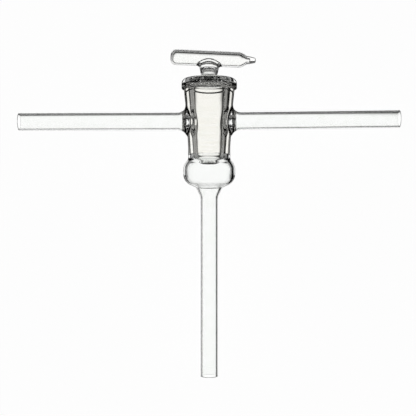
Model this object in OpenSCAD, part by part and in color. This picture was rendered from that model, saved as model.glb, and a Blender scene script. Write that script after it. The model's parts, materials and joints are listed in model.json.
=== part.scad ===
// Three-way vacuum stopcock in blown borosilicate glass.
// A hollow ground plug turns in a tapered barrel. Its side port joins either side arm,
// or neither, to the plug's open foot and so to the bulb and the leg below it.
// Both pieces are drawn upright about the barrel axis, with the arms crossing it at height 0,
// and are then laid down on the bench: rim bead, bulb and right arm touch it.

/* [Tubing] */
// Outside diameter of the side arms and the leg
tube_d = 8.4; // [7:0.1:10]
// Wall of the side arms and the leg
tube_wall = 0.7; // [0.5:0.1:1.1]
// Barrel axis to the end of either side arm
arm_reach = 93.3; // [60:0.1:120]
// Arm centre line to the end of the leg
leg_reach = 125; // [90:0.5:160]
// Angle by which the left arm dips out of square, degrees
left_arm_dip = 0.2; // [0:0.1:1.5]
// Angle by which the right arm rises out of square, degrees
right_arm_rise = 0.7; // [0:0.1:1.5]
// Radius of the fire-polished edge at each tube end
lip = 0.25; // [0.15:0.05:0.3]
// Fillet radius where an arm flares out onto the barrel
arm_flare = 6; // [4:0.5:8]
// Length of each arm's flare beyond the barrel wall
arm_flare_run = 4.8; // [3.5:0.1:5.8]

/* [Barrel] */
// Height of the rim above the arm centre line
barrel_top = 20.9; // [18:0.1:26]
// Depth of the ground bore below the arm centre line
barrel_foot = 16.2; // [13.5:0.1:20]
// Bore diameter at the arm centre line
bore_d = 18.3; // [15.5:0.1:22]
// Length over which the ground taper changes its diameter by one
taper = 10; // [8.5:0.5:12]
// Barrel wall below the rim
barrel_wall_top = 2.2; // [1.8:0.1:3]
// Barrel wall at the foot of the ground bore
barrel_wall_foot = 1.85; // [1.5:0.1:2.5]
// Projection of the rim bead beyond the barrel wall
rim_out = 1.15; // [0.9:0.05:1.5]
// Height of the rim bead
rim_h = 5.2; // [4.3:0.1:6.4]

/* [Bulb] */
// Wall of the neck between the barrel and the bulb
neck_wall = 1.9; // [1.6:0.1:2.3]
// Length of the neck
neck_h = 2.7; // [2.2:0.1:3.4]
// Projection of the bulb beyond the neck
bulb_out = 2.35; // [2:0.05:3]
// Height of the bulb
bulb_h = 13.7; // [11.2:0.1:16.5]
// Wall of the bulb
bulb_wall = 1.7; // [1.4:0.1:2.1]
// Height of the funnel below the bulb
funnel_h = 4.4; // [3.6:0.1:5.4]
// Projection of the funnel's mouth beyond the leg
funnel_out = 2.1; // [1.8:0.1:2.6]
// Glass under the bulb's hollow
bulb_floor = 1; // [0.8:0.1:1.5]
// Angle by which the bulb's floor slopes down to the funnel, degrees
floor_slope = 25; // [20:1:31]

/* [Plug] */
// Running clearance in radius between the plug and the ground bore, filled with grease
joint_gap = 0.04; // [0.02:0.01:0.08]
// Diameter of the hole through the barrel wall and the plug wall
port_d = 4.5; // [3.7:0.1:5.4]
// Length of plug that stands below the ground bore before its foot draws in
plug_foot_out = 1; // [0.8:0.1:1.3]
// Height over which the foot draws in to its mouth
foot_draw = 3.6; // [2.9:0.1:4.4]
// Diameter of the mouth in the plug's foot
mouth_d = 6.4; // [5.3:0.1:7.8]
// Plug wall at the shoulder
plug_wall_top = 1.75; // [1.4:0.05:2.2]
// Plug wall above the foot
plug_wall_foot = 2.05; // [1.6:0.05:2.5]
// Drop of the plug's shoulder below the rim
shoulder_drop = 1.0; // [0.6:0.1:1.6]
// Rise from the plug's shoulder to the foot of the stem
shoulder_rise = 2.0; // [1.4:0.1:2.6]
// Stem diameter
stem_d = 8.3; // [7.5:0.1:9.6]
// Wall of the stem
stem_wall = 0.9; // [0.75:0.05:1.1]
// Length of the stem from the shoulder to the seal under the handle
stem_h = 3.6; // [3:0.1:5]

/* [Handle] */
// Outside diameter of the handle tube
handle_d = 7.5; // [6.4:0.1:9]
// Wall of the handle tube
handle_wall = 0.9; // [0.7:0.05:1.1]
// Stem axis to the rounded end of the handle
handle_left = 18.9; // [15:0.1:24]
// Stem axis to the tip where the handle was sealed off
handle_right = 22.8; // [19:0.1:28]
// Length of the sealed-off tip
tip_h = 7.2; // [6:0.1:8.7]
// Diameter of the sealed-off tip at its root
tip_d = 3.9; // [3.2:0.1:4.7]
// Angle by which the handle droops to the right, degrees
handle_droop = 2.5; // [0:0.1:4]
// Half width of the neck where it runs into the handle
handle_neck = 6.2; // [5.2:0.1:7.4]
// Height of the handle axis above the seal
handle_neck_h = 5.2; // [4.6:0.1:6.3]

/* [Hidden] */
$fn = 96;
// Straight steps in each rounded corner of a profile
arc_steps = 6;
// Overlap that carries a cut clear of the surface it opens
over = 1;

// ---------- Sizes that follow ----------
tube_r = tube_d / 2;
tube_bore = tube_r - tube_wall;
function bore_at(h) = bore_d / 2 + h / (2 * taper);
function plug_at(h) = bore_at(h) - joint_gap;

rim_r = bore_at(barrel_top) + barrel_wall_top + rim_out;
rim_round = 0.5 * rim_h;
// The barrel narrows from the rim in two steps: a short skirt, then the long taper
skirt_h = barrel_top - rim_h;
skirt_r = bore_at(skirt_h) + barrel_wall_top + 0.3;
rim_under = rim_r - skirt_r;
shank_top_h = 0.4 * barrel_top;
shank_top_r = bore_at(shank_top_h) + barrel_wall_top - 0.1;
shank_foot_h = -0.78 * barrel_foot;
shank_foot_r = bore_at(shank_foot_h) + barrel_wall_foot - 0.1;

neck_bore = bore_at(-barrel_foot) + 0.1;
neck_r = neck_bore + neck_wall;
neck_end = -barrel_foot - neck_h;
bulb_r = neck_r + bulb_out;
bulb_end = neck_end - bulb_h;
bulb_shoulder = neck_end - 1.2 * bulb_out;
bulb_bore = bulb_r - bulb_wall;
funnel_r = tube_r + funnel_out;
// Height at which the sloping floor would meet the bulb's side
bulb_low = bulb_end + (bulb_r - funnel_r) * tan(floor_slope);
bulb_round = min(bulb_shoulder - bulb_low - 0.3, bulb_r - funnel_r - 0.5);
funnel_end = bulb_end - funnel_h;

// Distances from the barrel axis at which an arm's hollow ends and its flare begins
weld = bore_at(0) + barrel_wall_top + 0.6;
flare_start = weld - 0.8 + arm_flare_run;

foot_edge = -barrel_foot - plug_foot_out;
plug_foot = foot_edge - foot_draw;
mouth_r = mouth_d / 2;
shoulder = barrel_top - shoulder_drop;
stem_r = stem_d / 2;
stem_bore = stem_r - stem_wall;
stem_foot = shoulder + shoulder_rise;
seal = stem_foot + stem_h;
seal_t = 1;
handle_r = handle_d / 2;
handle_bore = handle_r - handle_wall;
handle_h = seal + handle_neck_h;
neck_ring = stem_r + 0.15;
// The neck runs into the handle a little below the handle's axis
neck_top = handle_h - 0.35 * handle_r;
tip_r = tip_d / 2;
tip_root = handle_right - tip_h;
port_r = port_d / 2;

// ---------- How it lies ----------
// The axis pitches until the rim bead and the bulb both touch, then the body rolls about
// that axis until the right arm's end touches.
bead_c = [rim_r - rim_under, skirt_h + rim_under];
bulb_c = [bulb_r - bulb_round, bulb_low + bulb_round / tan(45 + floor_slope / 2)];
span = bead_c - bulb_c;
pitch = asin((rim_under - bulb_round) / norm(span)) + atan(span[0] / span[1]);
lie_h = bulb_c[0] * cos(pitch) - bulb_c[1] * sin(pitch) + bulb_round;
arm_drop = asin((lie_h - lip) / norm([arm_reach - lip, tube_r - lip]))
         - atan((tube_r - lip) / (arm_reach - lip));
roll = asin((sin(arm_drop) + sin(right_arm_rise) * sin(pitch)) / (cos(right_arm_rise) * cos(pitch)));
// The origin is under the middle of the whole length and width
mid_y = (handle_h + handle_r + handle_left * sin(handle_droop) - leg_reach) / 2;

module laid() {
    translate([0, -mid_y * cos(pitch), lie_h])
        rotate([pitch, 0, 0])
            rotate([0, roll, 0])
                rotate([-90, 0, 0])
                    children();
}

// ---------- Profiles ----------
function unit(v) = v / norm(v);
// The points of one corner: itself, or an arc of radius p[2] that meets both its sides
function corner(a, p, b) =
    p[2] == 0 ? [[p[0], p[1]]] :
    let (
        at = [p[0], p[1]],
        u = unit([a[0], a[1]] - at),
        w = unit([b[0], b[1]] - at),
        half = acos(u * w) / 2,
        centre = at + unit(u + w) * p[2] / sin(half),
        from = at + u * p[2] / tan(half) - centre,
        start = atan2(from[1], from[0]),
        to = at + w * p[2] / tan(half) - centre,
        turn = (atan2(to[1], to[0]) - start + 540) % 360 - 180
    )
    [for (i = [0 : arc_steps])
        centre + p[2] * [cos(start + turn * i / arc_steps), sin(start + turn * i / arc_steps)]];
// A closed outline from corners [across, along, radius]
function rounded(c) = [for (i = [0 : len(c) - 1]) each
    corner(c[(i + len(c) - 1) % len(c)], c[i], c[(i + 1) % len(c)])];

module turned(corners) {
    rotate_extrude()
        polygon(rounded(corners));
}

// ---------- Barrel body ----------
// The mouth of a bore at an end face: a softened edge, then clear of the glass
function mouth(r, face, out) = [
    [r, face - out * lip, lip],
    [r + lip + over, face + out * over, 0],
    [0, face + out * over, 0]
];

module barrel_outside() {
    turned([
        [0, barrel_top, 0],
        [rim_r, barrel_top, rim_round],
        [rim_r, skirt_h, rim_under],
        [skirt_r, skirt_h - 0.25 * rim_under, 0.3 * rim_under],
        [shank_top_r, shank_top_h, 20],
        [shank_foot_r, shank_foot_h, 20],
        [neck_r, neck_end, 2],
        [bulb_r, bulb_shoulder, bulb_round],
        [bulb_r, bulb_low, bulb_round],
        [funnel_r, bulb_end, 1.2],
        [tube_r, funnel_end, 5],
        [tube_r, -leg_reach, lip],
        [0, -leg_reach, 0]
    ]);
}

// Height of the bulb's inner floor at a distance from the axis
function floor_at(r) = bulb_low + (r - bulb_r) * tan(floor_slope) + bulb_floor / cos(floor_slope);

module barrel_inside() {
    turned(concat([
        [0, barrel_top + over, 0],
        [bore_at(barrel_top + over), barrel_top + over, 0],
        [bore_at(-barrel_foot), -barrel_foot, 0],
        [neck_bore, -barrel_foot - 0.3, 0],
        [neck_bore - 0.1, neck_end + 0.2, 3.5],
        [bulb_bore, bulb_shoulder - 0.5, bulb_round - bulb_wall],
        [bulb_bore, floor_at(bulb_bore), bulb_round - bulb_wall],
        [funnel_r - 0.8 * bulb_floor, floor_at(funnel_r - 0.8 * bulb_floor), 1.2 + bulb_floor],
        [tube_bore, funnel_end + 0.3, 5]
    ], mouth(tube_bore, -leg_reach, -1)));
}

// An arm is turned about its own axis, which starts at the barrel axis.
// The flare is an arc of this radius that reaches the given distance from its start.
function flare(radius, run) = [for (i = [0 : arc_steps])
    let (h = run * (1 - i / arc_steps))
    [tube_r + arm_flare - sqrt(radius * radius - h * h), flare_start - h, 0]];

module arm_outside() {
    profile = flare(arm_flare, arm_flare_run);
    turned(concat([[0, 0, 0], [profile[0][0], 0, 0]], profile, [
        [tube_r, arm_reach, lip],
        [0, arm_reach, 0]
    ]));
}

// The hollow has a rounded end, which leaves the weld thick around the side hole
module arm_inside() {
    profile = flare(arm_flare + tube_wall, flare_start - weld - 1);
    end_r = profile[0][0] + 0.4;
    turned(concat([[0, weld, 0], [end_r, weld, 0.7]], profile, mouth(tube_bore, arm_reach, 1)));
}

module both_arms() {
    rotate([0, 90 - right_arm_rise, 0])
        children();
    rotate([0, -90 - left_arm_dip, 0])
        children();
}

module barrel_body() {
    color("whitesmoke")
        laid()
            difference() {
                union() {
                    barrel_outside();
                    both_arms()
                        arm_outside();
                }
                barrel_inside();
                both_arms()
                    arm_inside();
                // One straight hole runs through both barrel walls
                rotate([0, 90, 0])
                    cylinder(r = port_r, h = 2 * weld + 1, center = true);
            }
}

// ---------- Hollow plug ----------
// The stem ends in a dome, which seals it off from the handle: an arc from the wall to the axis
function dome(r, foot, top) =
    let (radius = (r * r + (top - foot) * (top - foot)) / (2 * (top - foot)))
    [for (i = [0 : 2 * arc_steps])
        let (across = r * (1 - i / (2 * arc_steps)))
        [across, top - radius + sqrt(radius * radius - across * across), 0]];

module plug_outside() {
    turned(concat([
        [0, plug_foot, 0],
        [mouth_r + 0.9, plug_foot, 0.6],
        [plug_at(foot_edge), foot_edge, 1.2],
        [plug_at(shoulder), shoulder, 2.4],
        [stem_r, stem_foot, 1.2]
    ], dome(stem_r, seal - 1.4, seal + 0.7)));
}

module plug_inside() {
    foot_r = plug_at(foot_edge) - plug_wall_foot;
    top_h = shoulder - 2.1;
    top_r = plug_at(top_h) - plug_wall_top;
    turned(concat([
        [0, plug_foot - over, 0],
        [mouth_r + lip + over, plug_foot - over, 0],
        [mouth_r, plug_foot + lip, 0.3],
        [mouth_r, plug_foot + 0.95, 0.4],
        [foot_r, foot_edge, 1.4],
        [top_r, top_h, 1.7],
        [stem_bore, top_h + 1, 1]
    ], dome(stem_bore, seal - 1.9, seal + 0.7 - seal_t)));
}

// The handle is turned about its own axis, which crosses the stem
module along_handle() {
    translate([0, 0, handle_h])
        rotate([0, 90 + handle_droop, 0])
            children();
}

module handle_outside() {
    turned([
        [0, -handle_left, 0],
        [handle_r, -handle_left, 2.7],
        [handle_r, tip_root, 4],
        [tip_r, tip_root + 2.8, 1],
        [tip_r, tip_root + 3.7, 2],
        [0.6 * tip_r, handle_right, 0.9],
        [0, handle_right, 0]
    ]);
}

module handle_inside() {
    turned([
        [0, -handle_left + handle_wall, 0],
        [handle_bore, -handle_left + handle_wall, 2],
        [handle_bore, tip_root - 0.3, 3],
        [0.45 * tip_r, tip_root + 2.6, 0.7],
        [0.4 * tip_r, tip_root + 4.4, 0.6],
        [0, tip_root + 4.4, 0]
    ]);
}

// The neck opens from a round ring at the seal to an oval under the handle
module handle_neck(ring_h, wall) {
    hull() {
        translate([0, 0, ring_h])
            cylinder(r = neck_ring - wall, h = 0.2, $fn = 32);
        translate([0, 0, neck_top - 0.2])
            scale([handle_neck - wall, handle_r - 0.35 - wall, 1])
                cylinder(r = 1, h = 0.2, $fn = 32);
    }
}

module hollow_plug() {
    color("ivory")
        laid()
            difference() {
                union() {
                    difference() {
                        union() {
                            handle_neck(seal - 1.4, 0);
                            along_handle()
                                handle_outside();
                        }
                        handle_neck(seal - 1.2, handle_wall);
                        along_handle()
                            handle_inside();
                    }
                    plug_outside();
                }
                plug_inside();
                // The side port faces the left arm
                rotate([0, -90, 0])
                    cylinder(r = port_r, h = bore_d);
            }
}

barrel_body();
hollow_plug();
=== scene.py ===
"""Looks for a hollow-plug stopcock in blown glass, built round its packed CAD frame.

The barrel body and the plug are each one skin of glass. Outlines from the sizes below become
distance fields, the fields are welded with soft joins as a glass blower's flame leaves them, and
one mesh is drawn over each. The ground faces are filled with grease, so light goes straight on there.
"""

import json
import math

import bpy
import numpy as np
from mathutils import Matrix, Vector


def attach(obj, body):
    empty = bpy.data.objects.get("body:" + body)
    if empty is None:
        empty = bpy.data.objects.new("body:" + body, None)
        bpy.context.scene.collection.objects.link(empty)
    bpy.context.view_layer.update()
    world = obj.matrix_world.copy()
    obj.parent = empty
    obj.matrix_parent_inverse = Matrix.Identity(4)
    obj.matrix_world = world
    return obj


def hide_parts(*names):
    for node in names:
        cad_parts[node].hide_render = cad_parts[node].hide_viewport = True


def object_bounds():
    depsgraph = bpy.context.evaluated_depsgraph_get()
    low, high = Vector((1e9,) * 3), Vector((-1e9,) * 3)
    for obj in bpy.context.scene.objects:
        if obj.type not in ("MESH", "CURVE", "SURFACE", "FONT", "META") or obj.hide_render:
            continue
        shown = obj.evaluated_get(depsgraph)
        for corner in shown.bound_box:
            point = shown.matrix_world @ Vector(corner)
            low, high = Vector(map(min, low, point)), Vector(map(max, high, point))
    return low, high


bl_info = {
    "name": "Glass stopcock",
    "version": (1, 0, 0),
    "blender": (4, 5, 0),
    "location": "3D View > Sidebar > Stopcock",
    "description": "Builds the skins, glass and stage of a hollow-plug stopcock",
    "category": "Add Mesh",
}

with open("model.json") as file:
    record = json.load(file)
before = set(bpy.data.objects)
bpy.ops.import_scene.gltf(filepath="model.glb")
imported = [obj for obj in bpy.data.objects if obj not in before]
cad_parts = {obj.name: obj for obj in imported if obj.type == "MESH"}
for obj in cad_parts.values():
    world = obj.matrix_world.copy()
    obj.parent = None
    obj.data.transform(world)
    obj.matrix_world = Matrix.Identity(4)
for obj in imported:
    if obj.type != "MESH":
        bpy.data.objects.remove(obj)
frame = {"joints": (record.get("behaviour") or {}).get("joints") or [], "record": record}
cad_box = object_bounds()

MM = 0.001


# ---------- Sizes and finishes ----------


def length(name, description, mm):
    """A size in the scene's metres, with its default given in millimetres."""
    return bpy.props.FloatProperty(
        name=name, description=description, default=mm * MM, min=0.0, precision=5,
        unit="LENGTH", subtype="DISTANCE",
    )


def share(name, description, default, most=1.0):
    """A plain number from nought to most."""
    return bpy.props.FloatProperty(
        name=name, description=description, default=default, min=0.0, max=most, subtype="FACTOR"
    )


def angle(name, description, degrees):
    """An angle, with its default given in degrees."""
    return bpy.props.FloatProperty(
        name=name, description=description, default=math.radians(degrees), subtype="ANGLE"
    )


def colour(name, description, default):
    """A linear colour."""
    return bpy.props.FloatVectorProperty(
        name=name, description=description, default=default, size=3, min=0.0, max=1.0, subtype="COLOR"
    )


def per_metre(name, description, default):
    """How often a pattern repeats in a metre along each axis."""
    return bpy.props.FloatVectorProperty(
        name=name, description=description, default=default, size=3, min=0.0, subtype="XYZ"
    )


class TubingSizes(bpy.types.PropertyGroup):
    """The side arms and the leg"""

    tube_d: length("Tube diameter", "Outside diameter of the side arms and the leg", 8.4)
    tube_wall: length("Tube wall", "Wall of the side arms and the leg", 0.7)
    arm_reach: length("Arm reach", "Barrel axis to the end of either side arm", 93.3)
    leg_reach: length("Leg reach", "Arm centre line to the end of the leg", 125)
    lip: length("Lip", "Radius of the fire-polished edge at each tube end", 0.25)
    arm_flare: length("Arm flare", "Fillet radius where an arm flares out onto the barrel", 6)
    arm_flare_run: length("Flare run", "Length of each arm's flare beyond the barrel wall", 4.8)


class BarrelSizes(bpy.types.PropertyGroup):
    """The tapered barrel with its rim bead"""

    barrel_top: length("Rim height", "Height of the rim above the arm centre line", 20.9)
    barrel_foot: length("Bore depth", "Depth of the ground bore below the arm centre line", 16.2)
    bore_d: length("Bore diameter", "Bore diameter at the arm centre line", 18.3)
    taper: bpy.props.FloatProperty(
        name="Taper", description="Length over which the bore changes its diameter by one",
        default=10, min=5,
    )
    barrel_wall_top: length("Wall under the rim", "Barrel wall below the rim", 2.2)
    barrel_wall_foot: length("Wall at the foot", "Barrel wall at the foot of the ground bore", 1.85)
    rim_out: length("Rim bead projection", "Projection of the rim bead beyond the barrel wall", 1.15)
    rim_h: length("Rim bead height", "Height of the rim bead", 5.2)


class BulbSizes(bpy.types.PropertyGroup):
    """The neck, the bulb and the funnel that runs into the leg"""

    neck_wall: length("Neck wall", "Wall of the neck between the barrel and the bulb", 1.9)
    neck_h: length("Neck length", "Length of the neck", 2.7)
    bulb_out: length("Bulb projection", "Projection of the bulb beyond the neck", 2.35)
    bulb_h: length("Bulb height", "Height of the bulb", 13.7)
    bulb_wall: length("Bulb wall", "Wall of the bulb", 1.7)
    bulb_floor: length("Bulb floor", "Glass under the bulb's hollow", 1.0)
    floor_slope: angle("Floor slope", "Angle by which the bulb's floor slopes down to the funnel", 25)
    funnel_h: length("Funnel height", "Height of the funnel below the bulb", 4.4)
    funnel_out: length("Funnel projection", "Projection of the funnel's mouth beyond the leg", 2.1)


class PlugSizes(bpy.types.PropertyGroup):
    """The hollow ground plug and its stem"""

    joint_gap: length("Grease film", "Clearance in radius between the plug and the bore", 0.04)
    port_d: length("Side hole", "Diameter of the hole through the barrel and plug walls", 4.5)
    plug_foot_out: length("Foot", "Length of plug below the ground bore before its foot draws in", 1.0)
    foot_draw: length("Foot draw", "Height over which the foot draws in to its mouth", 3.6)
    mouth_d: length("Mouth", "Diameter of the mouth in the plug's foot", 6.4)
    plug_wall_top: length("Wall at the shoulder", "Plug wall at the shoulder", 1.75)
    plug_wall_foot: length("Wall at the foot", "Plug wall at the open foot", 2.05)
    shoulder_drop: length("Shoulder drop", "Drop of the plug's shoulder below the rim", 1.0)
    shoulder_rise: length("Shoulder rise", "Rise from the shoulder to the foot of the stem", 2.0)
    stem_d: length("Stem diameter", "Stem diameter", 8.3)
    stem_wall: length("Stem wall", "Wall of the stem", 0.9)
    stem_h: length("Stem length", "Length of the stem up to the seal under the handle", 3.6)


class HandleSizes(bpy.types.PropertyGroup):
    """The T handle, blown from a tube and sealed off at its tip"""

    handle_d: length("Handle diameter", "Outside diameter of the handle tube", 7.5)
    handle_wall: length("Handle wall", "Wall of the handle tube", 0.9)
    handle_left: length("Left reach", "Stem axis to the rounded end of the handle", 18.9)
    handle_right: length("Right reach", "Stem axis to the sealed tip", 22.8)
    tip_h: length("Tip length", "Length of the sealed-off tip", 7.2)
    tip_d: length("Tip diameter", "Diameter of the sealed-off tip at its root", 3.9)
    handle_droop: angle("Droop", "Angle by which the handle droops to the right", 2.5)
    handle_neck: length("Neck half width", "Half width of the neck where it meets the handle", 6.2)
    handle_neck_h: length("Neck height", "Height of the handle axis above the seal", 5.2)
    weld_bead: length("Weld bead", "Thickness of the bead where the neck is welded to the handle", 1.6)
    weld_depth: length("Weld depth", "Depth of the weld bead's middle below the handle's surface", 1.2)


class GlassFinish(bpy.types.PropertyGroup):
    """The glass and the grease in the ground joint"""

    ior: bpy.props.FloatProperty(
        name="Refractive index", description="Borosilicate glass bends light this much",
        default=1.47, min=1.0, max=2.0,
    )
    body_tint: colour("Body tint", "Colour the body's glass passes", (0.995, 1.0, 0.995))
    plug_tint: colour("Plug tint", "Colour the plug's glass passes", (1.0, 0.998, 0.99))
    cord_tint: colour("Cord tint", "Colour the cords in the glass pass", (0.975, 0.985, 0.972))
    cord_scale: per_metre("Cord scale", "Cords in a metre, across and along the leg", (260.0, 260.0, 40.0))
    wave_length: length("Wave length", "Distance between the faint waves in the glass's skin", 9)
    wave_depth: length("Wave depth", "Height of the faint waves in the glass's skin", 0.006)
    grease_thin: colour("Thin grease", "Colour the grease passes where it is thinnest", (0.995, 0.992, 0.985))
    grease_thick: colour("Thick grease", "Colour the grease passes where it is thickest", (0.985, 0.98, 0.965))
    streak_scale: per_metre("Streak scale", "Grease streaks in a metre along each axis", (60.0, 700.0, 60.0))
    weld_blend: length("Weld softness", "Distance over which welded glass runs together", 1.6)
    edge_blend: length("Edge softness", "Distance over which edges are fire-polished", 0.3)


class StageLight(bpy.types.PropertyGroup):
    """The white bench and its light"""

    bench: share("Bench colour", "How white the bench is", 0.9)
    bench_glow: share("Bench glow", "Light of its own that keeps the bench white in the camera", 0.97)
    below: share("Light below", "Brightness of the panel seen through the glass", 1.12, 2.0)
    below_spread: angle("Panel spread", "Half angle of the bright panel below the glass", 25)
    zenith: share("Light above", "Brightness of the soft light overhead", 0.016, 4.0)
    ring: share("Ring light", "Brightness of the even ring of light all round the bench", 0.3, 2.0)
    ring_low: angle("Ring depth", "Angle to which the ring of light reaches below the bench", 46)
    ring_high: angle("Ring height", "Angle to which the ring of light reaches above the bench", 10)
    dark: share("Dark surround", "Brightness of the dark boards round the bench", 0.0)
    camera_up: length("Camera height", "Height of the camera above the barrel axis", 420)
    field: length("Field of view", "Width that the camera takes in at the barrel axis", 203.84)


GROUPS = {
    "stopcock_tubing": TubingSizes,
    "stopcock_barrel": BarrelSizes,
    "stopcock_bulb": BulbSizes,
    "stopcock_plug": PlugSizes,
    "stopcock_handle": HandleSizes,
    "stopcock_glass": GlassFinish,
    "stopcock_stage": StageLight,
}


# ---------- Fixed proportions, in millimetres unless they are shares ----------

BORE_STEP = 0.1  # the neck's bore is this much wider than the ground bore's foot
SHOULDER_SHARE = 1.2  # drop of the bulb's shoulder for each unit that the bulb projects
BULB_FLAT, BULB_MARGIN = 0.3, 0.5  # straight left between the bulb's corners, and beside the funnel
WELD_OUT, FLARE_IN = 0.6, 0.8  # where an arm's hollow ends and how far back its flare begins
NECK_INSET = 0.35  # the handle's neck is this much narrower than the handle, front to back
NECK_SINK = 0.35  # share of the handle's radius by which the neck stops below its axis
NECK_CURVE = 1.2  # power of the curve on which the neck opens
NECK_FOOT, NECK_FLOOR = 1.4, 1.2  # start of the neck and of its hollow below the seal
SKIRT_OUT = 0.3  # projection of the skirt under the rim beyond the barrel wall
SHANK_IN, SHANK_ROUND = 0.1, 20  # waist of the barrel beside the arms and its long curve
SHANK_TOP, SHANK_FOOT = 0.4, 0.78  # shares of the barrel at which that waist begins and ends
GROUND_TOP = 1.0  # the ground face ends this far below the plug's shoulder
PLUG_TOP = 2.1  # the plug's hollow starts to close this far below the shoulder
SEAL_OUT, SEAL_IN = (0.6, 0.7), (0.9, 0.2)  # seal outside and inside: below and above its height
HANDLE_WELD, HOLLOW_WELD, BEAD_WELD, STEM_WELD = 0.6, 0.3, 0.25, 0.5  # shares of the weld softness
BEAD_NEAR, BEAD_FAR = 1.5, 3.0  # how far round the bead it is worked out, and the distance beyond
TINY = 1e-6


class Sizes:
    """Every size in millimetres under its own name, and the sizes that follow from them."""

    def __init__(self, scene):
        for group, kind in GROUPS.items():
            values = getattr(scene, group)
            for name in kind.__annotations__:
                value = getattr(values, name)
                unit = values.bl_rna.properties[name].unit
                setattr(self, name, value / MM if unit == "LENGTH" else value)
        self.tube_r = self.tube_d / 2
        self.tube_bore = self.tube_r - self.tube_wall
        self.rim_r = self.bore_at(self.barrel_top) + self.barrel_wall_top + self.rim_out
        self.neck_end = -self.barrel_foot - self.neck_h
        self.bulb_end = self.neck_end - self.bulb_h
        self.funnel_end = self.bulb_end - self.funnel_h
        self.funnel_r = self.tube_r + self.funnel_out
        self.neck_bore = self.bore_at(-self.barrel_foot) + BORE_STEP
        self.neck_r = self.neck_bore + self.neck_wall
        self.bulb_r = self.neck_r + self.bulb_out
        self.bulb_shoulder = self.neck_end - SHOULDER_SHARE * self.bulb_out
        self.bulb_low = self.bulb_end + (self.bulb_r - self.funnel_r) * math.tan(self.floor_slope)
        self.bulb_round = min(
            self.bulb_shoulder - self.bulb_low - BULB_FLAT, self.bulb_r - self.funnel_r - BULB_MARGIN
        )
        self.weld = self.bore_at(0) + self.barrel_wall_top + WELD_OUT
        self.flare_start = self.weld - FLARE_IN + self.arm_flare_run
        self.foot_edge = -self.barrel_foot - self.plug_foot_out
        self.plug_foot = self.foot_edge - self.foot_draw
        self.mouth_r = self.mouth_d / 2
        self.shoulder = self.barrel_top - self.shoulder_drop
        self.stem_r = self.stem_d / 2
        self.stem_bore = self.stem_r - self.stem_wall
        self.stem_foot = self.shoulder + self.shoulder_rise
        self.seal = self.stem_foot + self.stem_h
        self.handle_r = self.handle_d / 2
        self.handle_bore = self.handle_r - self.handle_wall
        self.handle_h = self.seal + self.handle_neck_h
        self.neck_top = self.handle_h - NECK_SINK * self.handle_r
        self.neck_depth = self.handle_r - NECK_INSET
        self.tip_r = self.tip_d / 2
        self.tip_root = self.handle_right - self.tip_h
        self.port_r = self.port_d / 2

    def bore_at(self, h):
        """Radius of the ground bore at a height along the barrel axis."""
        return self.bore_d / 2 + h / (2 * self.taper)

    def plug_at(self, h):
        """Radius of the ground plug at a height along the barrel axis."""
        return self.bore_at(h) - self.joint_gap


# ---------- Where the piece lies ----------


class Lie:
    """The barrel's own axes as they lie on the bench, taken from the frame's joint and mounts."""

    def __init__(self):
        turn = next(j for j in frame["joints"] if j["name"] == "plug_turn")
        mounts = {m["name"]: m for m in frame["record"]["mounts"]}
        self.origin = np.array(turn["pos_m"])
        along = np.array(turn["axis"])
        self.arms = [np.array(mounts[n]["axis"]) for n in ("right_arm_hose", "left_arm_hose")]
        down = np.cross(along, self.arms[0])
        down /= np.linalg.norm(down)
        self.axes = np.stack([np.cross(down, along), down, along])

    def inward(self, directions):
        """Directions of the row turned into the barrel's own axes."""
        return np.asarray(directions) @ self.axes.T

    def outward(self, points):
        """Points of the barrel's own axes, in millimetres, as places on the bench."""
        return self.origin + points @ self.axes * MM

    def turned(self, normals):
        """Directions of the barrel's own axes turned as they lie on the bench."""
        return normals @ self.axes


# ---------- Outlines ----------

ARC_STEP = 0.12
TABLE_STEP = 0.1
TABLE_MARGIN = 1.2
ROWS_AT_ONCE = 4096


def unit(v):
    """A vector's direction."""
    return v / np.linalg.norm(v)


def corner(before, at, after):
    """The points of one corner: itself, or an arc of radius at[2] that meets both its sides."""
    place, radius = np.array(at[:2]), at[2]
    if radius == 0:
        return [place]
    u, w = unit(np.array(before[:2]) - place), unit(np.array(after[:2]) - place)
    half = math.acos(np.clip(u @ w, -1, 1)) / 2
    centre = place + unit(u + w) * radius / math.sin(half)
    first = place + u * radius / math.tan(half) - centre
    last = place + w * radius / math.tan(half) - centre
    start = math.atan2(first[1], first[0])
    turn = (math.atan2(last[1], last[0]) - start + 3 * math.pi) % (2 * math.pi) - math.pi
    steps = max(4, math.ceil(abs(turn) * radius / ARC_STEP))
    angles = start + turn * np.arange(steps + 1) / steps
    return list(centre + radius * np.stack([np.cos(angles), np.sin(angles)], axis=1))


def dome(r, foot, top):
    """A quarter oval from a wall of radius r to the axis."""
    turn = np.linspace(0, math.pi / 2, 40)
    return [(r * math.cos(a), foot + (top - foot) * math.sin(a), 0) for a in turn]


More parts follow.
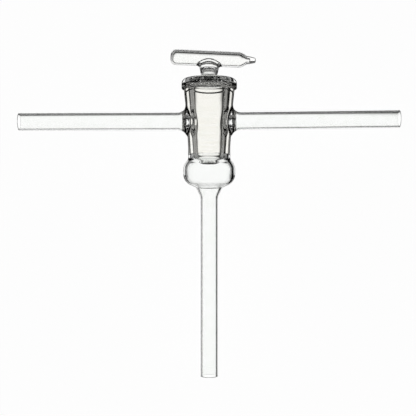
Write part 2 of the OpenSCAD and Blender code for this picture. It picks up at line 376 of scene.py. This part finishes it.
class Outline:
    """A closed outline of corners (across, along, radius), turned about the axis across = 0.

    The signed distance to it is worked out once on a fine table and then read from there."""

    def __init__(self, corners):
        n = len(corners)
        points = np.array(
            [p for i in range(n) for p in corner(corners[i - 1], corners[i], corners[(i + 1) % n])]
        )
        self.low = np.array([-4 * TABLE_STEP, points[:, 1].min() - TABLE_MARGIN])
        high = points.max(axis=0) + TABLE_MARGIN
        cells = np.ceil((high - self.low) / TABLE_STEP).astype(int) + 1
        across = np.abs(self.low[0] + np.arange(cells[0]) * TABLE_STEP)
        along = self.low[1] + np.arange(cells[1]) * TABLE_STEP
        grid = np.stack(np.meshgrid(across, along, indexing="ij"), axis=-1).reshape(-1, 2)
        rows = [self._exact(points, grid[i : i + ROWS_AT_ONCE]) for i in range(0, len(grid), ROWS_AT_ONCE)]
        self.table = np.concatenate(rows).reshape(cells)

    @staticmethod
    def _exact(points, at):
        """Signed distance from places to the outline; its part on the axis doesn't count."""
        a, b = points, np.roll(points, -1, axis=0)
        u, v = at[:, :1], at[:, 1:]
        du, dv = b[:, 0] - a[:, 0], b[:, 1] - a[:, 1]
        crosses = ((a[:, 1] > v) != (b[:, 1] > v)) & (
            u < a[:, 0] + du * (v - a[:, 1]) / np.where(dv == 0, 1, dv)
        )
        inside = crosses.sum(axis=1) % 2 == 1
        off_axis = (a[:, 0] > 1e-9) | (b[:, 0] > 1e-9)
        a, du, dv = a[off_axis], du[off_axis], dv[off_axis]
        pu, pv = u - a[:, 0], v - a[:, 1]
        t = np.clip((pu * du + pv * dv) / np.maximum(du * du + dv * dv, 1e-12), 0, 1)
        near = np.sqrt(((pu - t * du) ** 2 + (pv - t * dv) ** 2).min(axis=1))
        return np.where(inside, -near, near)

    def __call__(self, across, along, smooth):
        """The table read at places: by straight lines, or smoothly by cubics."""
        u = (np.abs(across) - self.low[0]) / TABLE_STEP
        v = (along - self.low[1]) / TABLE_STEP
        cu = np.clip(u, 1, self.table.shape[0] - 2.001)
        cv = np.clip(v, 1, self.table.shape[1] - 2.001)
        beyond = np.hypot(u - cu, v - cv) * TABLE_STEP
        iu, iv = cu.astype(int), cv.astype(int)
        fu, fv = cu - iu, cv - iv
        weights = cubic if smooth else straight
        wu, wv = weights(fu), weights(fv)
        total = 0
        for i, a in wu:
            for j, b in wv:
                total = total + a * b * self.table[iu + i, iv + j]
        return total + np.where(beyond > 0.2, beyond, 0)


def straight(f):
    """Weights of the two table values round a place."""
    return [(0, 1 - f), (1, f)]


def cubic(f):
    """Weights of the four table values round a place, for a curve through all of them."""
    return [
        (-1, ((2 - f) * f - 1) * f / 2),
        (0, ((3 * f - 5) * f * f + 2) / 2),
        (1, ((4 - 3 * f) * f + 1) * f / 2),
        (2, (f - 1) * f * f / 2),
    ]


def soft_union(a, b, blend):
    """The nearer of two distances, with a hollow join of the given width."""
    h = np.maximum(blend - np.abs(a - b), 0) / blend
    return np.minimum(a, b) - h * h * blend / 4


def soft_cut(a, b, blend):
    """What is left of solid a after solid b is taken out, with a softened edge."""
    return -soft_union(-a, b, blend)


# ---------- The barrel body ----------


class BarrelBody:
    """Barrel, neck, bulb, leg and both arms as one skin."""

    def __init__(self, s, lie):
        self.s = s
        self.arms = [unit(a) for a in lie.inward(lie.arms)]
        self.outside = Outline(self.outer_corners())
        self.inside = Outline(self.inner_corners())
        self.arm_outside = Outline(self.arm_outer_corners())
        self.arm_inside = Outline(self.arm_inner_corners())

    def mouth(self, r, face, out):
        """The mouth of a bore at an end face: a softened edge, then clear of the glass."""
        lip = self.s.lip
        return [(r, face - out * lip, lip), (r + lip + 1, face + out, 0), (0, face + out, 0)]

    def outer_corners(self):
        s = self.s
        skirt_h = s.barrel_top - s.rim_h
        skirt_r = s.bore_at(skirt_h) + s.barrel_wall_top + SKIRT_OUT
        rim_under = s.rim_r - skirt_r
        shank_top_h, shank_foot_h = SHANK_TOP * s.barrel_top, -SHANK_FOOT * s.barrel_foot
        return [
            (0, s.barrel_top, 0),
            (s.rim_r, s.barrel_top, 0.5 * s.rim_h),
            (s.rim_r, skirt_h, 0.6 * rim_under),
            (skirt_r, skirt_h - 0.25 * rim_under, 0.3 * rim_under),
            (s.bore_at(shank_top_h) + s.barrel_wall_top - SHANK_IN, shank_top_h, SHANK_ROUND),
            (s.bore_at(shank_foot_h) + s.barrel_wall_foot - SHANK_IN, shank_foot_h, SHANK_ROUND),
            (s.neck_r, s.neck_end, 2),
            (s.bulb_r, s.bulb_shoulder, s.bulb_round),
            (s.bulb_r, s.bulb_low, s.bulb_round),
            (s.funnel_r, s.bulb_end, 1.2),
            (s.tube_r, s.funnel_end, 5),
            (s.tube_r, -s.leg_reach, s.lip),
            (0, -s.leg_reach, 0),
        ]

    def floor_at(self, r):
        """Height of the bulb's inner floor at a distance from the axis."""
        s = self.s
        rise = (r - s.bulb_r) * math.tan(s.floor_slope)
        return s.bulb_low + rise + s.bulb_floor / math.cos(s.floor_slope)

    def inner_corners(self):
        s = self.s
        bulb_bore = s.bulb_r - s.bulb_wall
        bulb_round = s.bulb_round - s.bulb_wall
        funnel_bore = s.funnel_r - 0.8 * s.bulb_floor
        return [
            (0, s.barrel_top + 1, 0),
            (s.bore_at(s.barrel_top + 1), s.barrel_top + 1, 0),
            (s.bore_at(-s.barrel_foot), -s.barrel_foot, 0),
            (s.neck_bore, -s.barrel_foot - 0.3, 0),
            (s.neck_bore - 0.1, s.neck_end + 0.2, 3.5),
            (bulb_bore, s.bulb_shoulder - 0.5, bulb_round),
            (bulb_bore, self.floor_at(bulb_bore), bulb_round),
            (funnel_bore, self.floor_at(funnel_bore), 1.2 + s.bulb_floor),
            (s.tube_bore, s.funnel_end + 0.3, 5),
            *self.mouth(s.tube_bore, -s.leg_reach, -1),
        ]

    def flare(self, radius, run):
        """An arc of the given radius that widens the tube back from the flare's start."""
        s = self.s
        back = run * np.linspace(1, 0, 40)
        wide = s.tube_r + s.arm_flare - np.sqrt(radius * radius - back * back)
        return [(r, s.flare_start - b, 0) for r, b in zip(wide, back)]

    def arm_outer_corners(self):
        s = self.s
        flare = self.flare(s.arm_flare, s.arm_flare_run)
        end = [(s.tube_r, s.arm_reach, s.lip), (0, s.arm_reach, 0)]
        return [(0, 0, 0), (flare[0][0], 0, 0), *flare, *end]

    def arm_inner_corners(self):
        s = self.s
        flare = self.flare(s.arm_flare + s.tube_wall, s.flare_start - s.weld - 1)
        end = [(0, s.weld, 0), (flare[0][0] + 0.4, s.weld, 0.7)]
        return [*end, *flare, *self.mouth(s.tube_bore, s.arm_reach, 1)]

    def ladders(self):
        """Where the mesh has its rungs on each axis: close at the barrel and tube ends, wide on plain tube."""
        s = self.s
        near = s.flare_start + 3
        arms = rungs([(-s.arm_reach - 0.5, 0.12), (-s.arm_reach + 1.3, 4), (-near, 0.4), (near, 4),
                      (s.arm_reach - 1.3, 0.12), (s.arm_reach + 0.5, 0)])
        depth = rungs([(-s.rim_r - 0.6, 0.4), (s.rim_r + 0.6, 0)])
        along = rungs([(-s.leg_reach - 0.5, 0.12), (-s.leg_reach + 1.3, 4), (s.funnel_end - 4, 0.4),
                       (s.barrel_top + 0.8, 0)])
        return arms, depth, along

    def __call__(self, x, y, z, smooth=True):
        """Signed distance to the glass, negative inside it."""
        s = self.s
        across = np.hypot(x, y)
        outside = self.outside(across, z, smooth)
        inside = self.inside(across, z, smooth)
        for a in self.arms:
            along = a[0] * x + a[1] * y + a[2] * z
            off = np.sqrt(np.maximum(x * x + y * y + z * z - along * along, 0))
            outside = soft_union(outside, self.arm_outside(off, along, smooth), s.weld_blend)
            inside = soft_union(inside, self.arm_inside(off, along, smooth), HOLLOW_WELD * s.weld_blend)
        hole = np.maximum(np.hypot(y, z) - s.port_r, np.abs(x) - s.weld - 0.5)
        return soft_cut(outside, soft_union(inside, hole, s.edge_blend), s.edge_blend)

    def ground(self, across, z):
        """Which places are on the ground face that the plug runs in."""
        s = self.s
        return (
            (np.abs(across - s.bore_at(z)) < 0.5 * s.joint_gap)
            & (z > -s.barrel_foot)
            & (z < s.shoulder - GROUND_TOP)
        )


# ---------- The plug ----------


class Plug:
    """Ground plug, stem, seal and T handle as one skin with a sealed hollow in the handle."""

    def __init__(self, s, lie):
        self.s = s
        droop = s.handle_droop
        self.handle_axis = np.array([math.cos(droop), 0, -math.sin(droop)])
        self.outside = Outline(self.outer_corners())
        self.inside = Outline(self.inner_corners())
        self.handle_outside = Outline(self.handle_outer_corners())
        self.handle_inside = Outline(self.handle_inner_corners())
        self.ring = self.weld_ring()

    def outer_corners(self):
        s = self.s
        return [
            (0, s.plug_foot, 0),
            (s.mouth_r + 0.9, s.plug_foot, 0.6),
            (s.plug_at(s.foot_edge), s.foot_edge, 1.2),
            (s.plug_at(s.shoulder), s.shoulder, 2.4),
            (s.stem_r, s.stem_foot, 1.2),
            *dome(s.stem_r, s.seal - SEAL_OUT[0], s.seal + SEAL_OUT[1]),
        ]

    def inner_corners(self):
        s = self.s
        foot_r = s.plug_at(s.foot_edge) - s.plug_wall_foot
        top_h = s.shoulder - PLUG_TOP
        return [
            (0, s.plug_foot - 1, 0),
            (s.mouth_r + s.lip + 1, s.plug_foot - 1, 0),
            (s.mouth_r, s.plug_foot + s.lip, 0.3),
            (s.mouth_r, s.plug_foot + 0.95, 0.4),
            (foot_r, s.foot_edge, 1.4),
            (s.plug_at(top_h) - s.plug_wall_top, top_h, 1.7),
            (s.stem_bore, top_h + 1.0, 1),
            *dome(s.stem_bore, s.seal - SEAL_IN[0], s.seal + SEAL_IN[1]),
        ]

    def handle_outer_corners(self):
        s = self.s
        return [
            (0, -s.handle_left, 0),
            (s.handle_r, -s.handle_left, 2.7),
            (s.handle_r, s.tip_root, 4),
            (s.tip_r, s.tip_root + 2.8, 1),
            (s.tip_r, s.tip_root + 3.7, 2),
            (0.6 * s.tip_r, s.handle_right, 0.9),
            (0, s.handle_right, 0),
        ]

    def handle_inner_corners(self):
        s = self.s
        return [
            (0, -s.handle_left + s.handle_wall, 0),
            (s.handle_bore, -s.handle_left + s.handle_wall, 2),
            (s.handle_bore, s.tip_root - 0.3, 3),
            (0.45 * s.tip_r, s.tip_root + 2.6, 0.7),
            (0.4 * s.tip_r, s.tip_root + 4.4, 0.6),
            (0, s.tip_root + 4.4, 0),
        ]

    def ladders(self):
        """Where the mesh has its rungs on each axis."""
        s = self.s
        wide = s.plug_at(s.shoulder) + 0.7
        arms = rungs([(-s.handle_left - 0.6, 0.36), (s.handle_right + 0.6, 0)])
        depth = rungs([(-wide, 0.36), (wide, 0)])
        along = rungs([(s.plug_foot - 0.6, 0.36), (s.handle_h + s.handle_r + 1.4, 0)])
        return arms, depth, along

    def neck(self, x, y, z, wall, ring_h):
        """Distance to the neck, which opens from a round ring to an oval under the handle."""
        s = self.s
        t = np.clip((z - ring_h) / (s.neck_top - ring_h), 0, 1) ** NECK_CURVE
        a = s.stem_r - wall + (s.handle_neck - s.stem_r) * t
        b = s.stem_r - wall + (s.neck_depth - s.stem_r) * t
        g = np.sqrt((x / a) ** 2 + (y / b) ** 2)
        side = g * (g - 1) / np.maximum(np.sqrt((x / a**2) ** 2 + (y / b**2) ** 2), TINY)
        return np.maximum(side, np.maximum(ring_h - z, z - s.neck_top))

    def weld_ring(self):
        """Points round the ring where the neck is welded to the handle."""
        s = self.s
        turn = np.linspace(0, 2 * math.pi, 73)
        x = (s.handle_neck - s.weld_depth) * np.cos(turn)
        y = (s.neck_depth - s.weld_depth) * np.sin(turn)
        up = -np.sqrt((s.handle_r - s.weld_depth) ** 2 - y**2)
        return np.stack([x, y, s.handle_h + up - x * math.tan(s.handle_droop)], axis=1)

    def bead(self, x, y, z):
        """Distance to the bead of glass along the weld ring."""
        x, y, z = np.broadcast_arrays(x, y, z)
        low, high = self.ring.min(axis=0) - BEAD_NEAR, self.ring.max(axis=0) + BEAD_NEAR
        near = (x > low[0]) & (x < high[0]) & (y > low[1]) & (y < high[1]) & (z > low[2]) & (z < high[2])
        at = np.stack([x[near], y[near], z[near]], axis=1)
        best = np.full(len(at), BEAD_FAR * BEAD_FAR)
        for a, b in zip(self.ring, self.ring[1:]):
            t = np.clip((at - a) @ (b - a) / ((b - a) @ (b - a)), 0, 1)
            best = np.minimum(best, ((at - a - t[:, None] * (b - a)) ** 2).sum(axis=1))
        distance = np.full(x.shape, BEAD_FAR)
        distance[near] = np.sqrt(best)
        return distance - self.s.weld_bead / 2

    def __call__(self, x, y, z, smooth=True):
        """Signed distance to the glass, negative inside it."""
        s = self.s
        up = z - s.handle_h
        along = self.handle_axis[0] * x + self.handle_axis[2] * up
        off = np.sqrt(np.maximum(x * x + y * y + up * up - along * along, 0))
        neck = self.neck(x, y, z, 0, s.seal - NECK_FOOT)
        handle = soft_union(self.handle_outside(off, along, smooth), neck, HANDLE_WELD * s.weld_blend)
        hollow = soft_union(
            self.handle_inside(off, along, smooth),
            self.neck(x, y, z, s.handle_wall, s.seal - NECK_FLOOR),
            HOLLOW_WELD * s.weld_blend,
        )
        across = np.hypot(x, y)
        handle = soft_cut(handle, hollow, s.edge_blend)
        handle = soft_union(handle, self.bead(x, y, z), BEAD_WELD * s.weld_blend)
        solid = soft_union(handle, self.outside(across, z, smooth), STEM_WELD * s.weld_blend)
        port = np.maximum(np.hypot(y, z) - s.port_r, x)
        inside = soft_union(self.inside(across, z, smooth), port, s.edge_blend)
        return soft_cut(solid, inside, s.edge_blend)

    def ground(self, across, z):
        """Which places are on the ground face that runs in the barrel."""
        s = self.s
        return (
            (np.abs(across - s.plug_at(z)) < 0.5 * s.joint_gap)
            & (z > -s.barrel_foot)
            & (z < s.shoulder - GROUND_TOP)
        )


# ---------- From a field to a mesh ----------


LEAST_SLOPE = 0.05  # squared slope below which a point moves no further at once
LET_DOWN = 3  # times that the points are moved onto the field
REACH, NORMAL_REACH = 0.05, 0.12  # millimetres to either side when the field's slope is taken


def rungs(stops):
    """Places from (start, step) stops: each stretch is split evenly into steps near the one given."""
    places = [stops[0][0]]
    for (start, step), (end, _) in zip(stops, stops[1:]):
        n = max(1, round((end - start) / step))
        places += list(start + (end - start) * np.arange(1, n + 1) / n)
    return np.array(places)


def drawn(field, ladders):
    """Vertices and quads round a field's surface: one vertex in each cell it passes through."""
    xs, ys, zs = ladders
    shape = tuple(len(a) for a in ladders)
    values = np.empty(shape)
    for i, x in enumerate(xs):
        y, z = np.meshgrid(ys, zs, indexing="ij")
        values[i] = field(np.full_like(y, x).ravel(), y.ravel(), z.ravel(), smooth=False).reshape(y.shape)
    inside = values < 0
    cells = tuple(n - 1 for n in shape)
    corners = [(i, j, k) for i in (0, 1) for j in (0, 1) for k in (0, 1)]

    def part(array, offset):
        return array[tuple(slice(o, o + c) for o, c in zip(offset, cells))]

    count = sum(part(inside, c).astype(np.int8) for c in corners)
    mixed = (count > 0) & (count < 8)
    cell = np.argwhere(mixed)
    number = np.full(cells, -1)
    number[mixed] = np.arange(len(cell))
    total, hits = np.zeros((len(cell), 3)), np.zeros(len(cell))
    for start in corners:
        for axis in range(3):
            if start[axis]:
                continue
            end = tuple(int(o or a == axis) for a, o in enumerate(start))
            f0 = values[tuple((cell + start).T)]
            f1 = values[tuple((cell + end).T)]
            hit = (f0 < 0) != (f1 < 0)
            t = np.where(hit, f0 / np.where(hit, f0 - f1, 1), 0)[:, None]
            p0 = np.stack([a[cell[:, n] + start[n]] for n, a in enumerate(ladders)], axis=1)
            p1 = np.stack([a[cell[:, n] + end[n]] for n, a in enumerate(ladders)], axis=1)
            total += (p0 + (p1 - p0) * t) * hit[:, None]
            hits += hit
    quads = []
    for axis in range(3):
        one, two = (axis + 1) % 3, (axis + 2) % 3
        step = [0, 0, 0]
        step[axis] = 1
        span = tuple(slice(0, n - s) for n, s in zip(shape, step))
        after = tuple(slice(s, n) for n, s in zip(shape, step))
        edge = np.argwhere(inside[span] != inside[after])
        edge = edge[(edge[:, one] > 0) & (edge[:, two] > 0)]
        ring = []
        for a, b in ((1, 1), (0, 1), (0, 0), (1, 0)):
            at = edge.copy()
            at[:, one] -= a
            at[:, two] -= b
            ring.append(number[tuple(at.T)])
        ring = np.stack(ring, axis=1)
        leaving = inside[tuple(edge.T)]
        quads.append(np.where(leaving[:, None], ring, ring[:, ::-1]))
    return total / hits[:, None], np.concatenate(quads)


def slope(field, p, reach):
    """The field's gradient at points, from its values to either side."""
    sides = []
    for axis in range(3):
        step = np.zeros(3)
        step[axis] = reach
        sides.append((field(*(p + step).T) - field(*(p - step).T)) / (2 * reach))
    return np.stack(sides, axis=1)


def skin(name, field, lie, glass, grease, body, node):
    """One glass piece: its mesh drawn over the field and let down onto it, with greased ground faces."""
    points, quads = drawn(field, field.ladders())
    for _ in range(LET_DOWN):
        g = slope(field, points, REACH)
        points = points - (field(*points.T) / np.maximum((g * g).sum(axis=1), LEAST_SLOPE))[:, None] * g
    normals = slope(field, points, NORMAL_REACH)
    normals /= np.linalg.norm(normals, axis=1)[:, None]
    mesh = bpy.data.meshes.new(name)
    mesh.from_pydata(lie.outward(points), [], quads)
    ground = field.ground(np.hypot(points[:, 0], points[:, 1]), points[:, 2])[quads].all(axis=1)
    mesh.materials.append(glass)
    mesh.materials.append(grease)
    mesh.polygons.foreach_set("material_index", ground.astype(np.int32))
    mesh.polygons.foreach_set("use_smooth", np.ones(len(quads), dtype=bool))
    mesh.normals_split_custom_set_from_vertices(lie.turned(normals))
    mesh.update()
    piece = bpy.data.objects.new(name, mesh)
    bpy.context.collection.objects.link(piece)
    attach(piece, body)
    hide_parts(node)


# ---------- Shader trees ----------


class Value:
    """A socket of numbers: an expression on it adds the Math nodes that it needs."""

    def __init__(self, tree, socket):
        self.tree, self.socket = tree, socket

    def _math(self, operation, *terms):
        return self.tree.add("Math", {"operation": operation}, *terms)["Value"]

    def __add__(self, other):
        return self._math("ADD", self, other)

    __radd__ = __add__

    def __sub__(self, other):
        return self._math("SUBTRACT", self, other)

    def __rsub__(self, other):
        return self._math("SUBTRACT", other, self)

    def __mul__(self, other):
        return self._math("MULTIPLY", self, other)

    __rmul__ = __mul__

    def step(self, low, high):
        """Nought below low and one above high, with a smooth rise between."""
        settings = {"interpolation_type": "SMOOTHSTEP"}
        return self.tree.add("MapRange", settings, self, low, high, 0.0, 1.0)["Result"]


class Tree:
    """The node tree of a material or a world."""

    def __init__(self, owner):
        owner.use_nodes = True
        self.nodes, self.links = owner.node_tree.nodes, owner.node_tree.links
        self.nodes.clear()

    def add(self, kind, settings=None, *inputs, **named):
        """A node of a type: its settings are set first, then its sockets in order or by name."""
        node = self.nodes.new("ShaderNode" + kind)
        for key, value in (settings or {}).items():
            setattr(node, key, value)
        for key, value in [*enumerate(inputs), *named.items()]:
            socket = node.inputs[key if isinstance(key, int) else key.replace("_", " ")]
            if isinstance(value, Value):
                self.links.new(value.socket, socket)
            else:
                socket.default_value = value
        return {o.name: Value(self, o) for o in node.outputs if o.enabled}

    def end(self, kind, shader):
        """Links the finished shader to the output."""
        out = self.nodes.new("ShaderNodeOutput" + kind)
        self.links.new(shader.socket, out.inputs["Surface"])


def clear_glass(name, tint, finish):
    """Blown glass with cords drawn along it.

    The wave sizes are metres already and are scaled down again here, so the waves are a thousand
    times finer than named and don't show."""
    material = bpy.data.materials.new(name)
    tree = Tree(material)
    place = tree.add("TexCoord")["Object"]
    drawn = tree.add("Mapping", None, Vector=place, Scale=finish.cord_scale)["Vector"]
    cord = tree.add("TexNoise", None, Vector=drawn, Scale=1.0, Detail=3.0)["Fac"].step(0.35, 0.8)
    colour = tree.add("MixRGB", None, cord, (*tint, 1.0), (*finish.cord_tint, 1.0))["Color"]
    wave = tree.add("TexNoise", None, Vector=place, Scale=1000 / finish.wave_length, Detail=1.0)["Fac"]
    bump = {"Strength": 1.0, "Distance": finish.wave_depth / 1000, "Height": wave}
    skin_normal = tree.add("Bump", None, **bump)["Normal"]
    glass = tree.add("BsdfPrincipled", None, Base_Color=colour, Roughness=0.0, IOR=finish.ior,
                     Transmission_Weight=1.0, Normal=skin_normal)
    tree.end("Material", glass["BSDF"])
    return material


def greased(name, finish):
    """A ground face filled with grease: it bends no light and tints it in turned streaks."""
    material = bpy.data.materials.new(name)
    tree = Tree(material)
    place = tree.add("TexCoord")["Object"]
    streaks = tree.add("Mapping", None, Vector=place, Scale=finish.streak_scale)["Vector"]
    film = tree.add("TexNoise", None, Vector=streaks, Scale=1.0, Detail=3.0)["Fac"]
    thin_film = tree.add("BsdfTransparent", None, Color=(*finish.grease_thin, 1.0))["BSDF"]
    thick_film = tree.add("BsdfTransparent", None, Color=(*finish.grease_thick, 1.0))["BSDF"]
    both = tree.add("MixShader", None, film.step(0.3, 0.75), thin_film, thick_film)
    tree.end("Material", both["Shader"])
    return material


# ---------- Operators ----------


class BuildBarrelBody(bpy.types.Operator):
    """Draws the barrel, bulb, leg and arms as one piece of glass"""

    bl_idname = "stopcock.barrel_body"
    bl_label = "Barrel body"

    def execute(self, context):
        s, lie = Sizes(context.scene), Lie()
        finish = context.scene.stopcock_glass
        glass = clear_glass("body_glass", finish.body_tint, finish)
        grease = greased("bore_grease", finish)
        skin("barrel_glass", BarrelBody(s, lie), lie, glass, grease, "barrel", "barrel_body")
        return {"FINISHED"}


class BuildPlug(bpy.types.Operator):
    """Draws the hollow plug with its stem and T handle"""

    bl_idname = "stopcock.plug"
    bl_label = "Plug and handle"

    def execute(self, context):
        s, lie = Sizes(context.scene), Lie()
        finish = context.scene.stopcock_glass
        glass = clear_glass("plug_glass", finish.plug_tint, finish)
        grease = greased("plug_grease", finish)
        skin("plug_glass", Plug(s, lie), lie, glass, grease, "plug", "hollow_plug")
        return {"FINISHED"}


class BuildStage(bpy.types.Operator):
    """Lays the white bench, the light and the camera"""

    bl_idname = "stopcock.stage"
    bl_label = "Stage"

    BENCH_SIDE, BENCH_GAP = 12.0, 0.00005  # half the bench's side and its gap below the glass, metres
    PANEL_LEAN = (-0.05, -0.1, 0)  # how the bright panel leans from straight below
    PANEL_EDGE, RING_EDGE = 0.04, 0.06  # softness of the panel's and the ring's edges
    ZENITH = (0.6, 0.95)  # heights between which the light above comes up
    MIDDLE = (-0.6, 0, -42.56)  # the middle of the view, millimetres from the barrel's centre
    BOUNCES, GLOSSY_BOUNCES = 8, 3
    FAR = 100.0

    def execute(self, context):
        look = context.scene.stopcock_stage
        self.bench(look)
        self.surround(context.scene, look)
        self.camera(context.scene, look)
        context.scene.view_settings.view_transform = "Standard"
        context.scene.cycles.max_bounces = self.BOUNCES
        context.scene.cycles.glossy_bounces = self.GLOSSY_BOUNCES
        return {"FINISHED"}

    def bench(self, look):
        """A white bench top that lets rays from the glass through to the light below it."""
        side = self.BENCH_SIDE
        mesh = bpy.data.meshes.new("bench_top")
        corners = [(-side, -side, 0), (side, -side, 0), (side, side, 0), (-side, side, 0)]
        mesh.from_pydata([Vector(c) for c in corners], [], [(0, 1, 2, 3)])
        material = bpy.data.materials.new("bench_white")
        tree = Tree(material)
        ray = tree.add("LightPath")
        white = (look.bench,) * 3 + (1.0,)
        top = tree.add("BsdfDiffuse", None, Color=white)["BSDF"]
        glow = tree.add("Emission", None, Strength=look.bench_glow)["Emission"]
        seen = tree.add("MixShader", None, ray["Is Camera Ray"], top,
                        tree.add("AddShader", None, top, glow)["Shader"])["Shader"]
        open_top = tree.add("BsdfTransparent")["BSDF"]
        tree.end("Material", tree.add("MixShader", None, ray["Is Transmission Ray"], seen, open_top)["Shader"])
        mesh.materials.append(material)
        bench = bpy.data.objects.new("bench_top", mesh)
        bench.location.z = cad_box[0].z - self.BENCH_GAP
        bpy.context.collection.objects.link(bench)

    def surround(self, scene, look):
        """A bright panel below the glass, an even ring of light all round and a little light above."""
        world = bpy.data.worlds.new("studio")
        scene.world = world
        tree = Tree(world)
        ray = tree.add("LightPath")
        toward_all = tree.add("TexCoord")["Generated"]
        toward = tree.add("SeparateXYZ", None, toward_all)
        edge = math.cos(look.below_spread)
        below = unit(Lie().axes[1] + np.array(self.PANEL_LEAN))
        panel = tree.add("VectorMath", {"operation": "DOT_PRODUCT"}, toward_all, tuple(below))["Value"]
        down = panel.step(edge - self.PANEL_EDGE, edge + self.PANEL_EDGE)
        up = toward["Z"].step(*self.ZENITH)
        level = look.dark + down * look.below + up * look.zenith
        low, high = -math.sin(look.ring_low), math.sin(look.ring_high)
        soft = self.RING_EDGE
        above_low = toward["Z"].step(low - soft, low + soft)
        ring = above_low * (1 - toward["Z"].step(high - soft, high + soft))
        level = level + ring * look.ring
        white = ray["Is Camera Ray"]
        strength = level * (1 - white) + white
        light = tree.add("Background", None, Color=(1.0, 1.0, 1.0, 1.0), Strength=strength)["Background"]
        tree.end("World", light)

    def camera(self, scene, look):
        """A camera above the bench, square to the plane of the arms and the leg."""
        camera = bpy.data.cameras.new("camera")
        eye = bpy.data.objects.new("camera", camera)
        lie = Lie()
        right, away, top = (Vector(a) for a in lie.axes)
        target = Vector(lie.outward(np.array(self.MIDDLE)))
        eye.location = target - away * look.camera_up
        eye.rotation_euler = Matrix((right, top, -away)).transposed().to_euler()
        camera.lens = camera.sensor_width * look.camera_up / look.field
        camera.clip_end = self.FAR
        bpy.context.collection.objects.link(eye)
        scene.camera = eye


class StopcockPanel(bpy.types.Panel):
    """Sizes and finishes of the stopcock"""

    bl_idname = "VIEW3D_PT_stopcock"
    bl_label = "Stopcock"
    bl_space_type = "VIEW_3D"
    bl_region_type = "UI"
    bl_category = "Stopcock"

    def draw(self, context):
        for group, kind in GROUPS.items():
            column = self.layout.column(heading=kind.__doc__)
            for name in kind.__annotations__:
                column.prop(getattr(context.scene, group), name)
        for operator in OPERATORS:
            self.layout.operator(operator.bl_idname)


OPERATORS = (BuildBarrelBody, BuildPlug, BuildStage)
CLASSES = (*GROUPS.values(), *OPERATORS, StopcockPanel)


def register():
    for c in CLASSES:
        bpy.utils.register_class(c)
    for group, kind in GROUPS.items():
        setattr(bpy.types.Scene, group, bpy.props.PointerProperty(type=kind))


def unregister():
    for group in GROUPS:
        delattr(bpy.types.Scene, group)
    for c in reversed(CLASSES):
        bpy.utils.unregister_class(c)


def main():
    register()
    bpy.ops.stopcock.barrel_body()
    bpy.ops.stopcock.plug()
    bpy.ops.stopcock.stage()


if __name__ == "__main__":
    main()
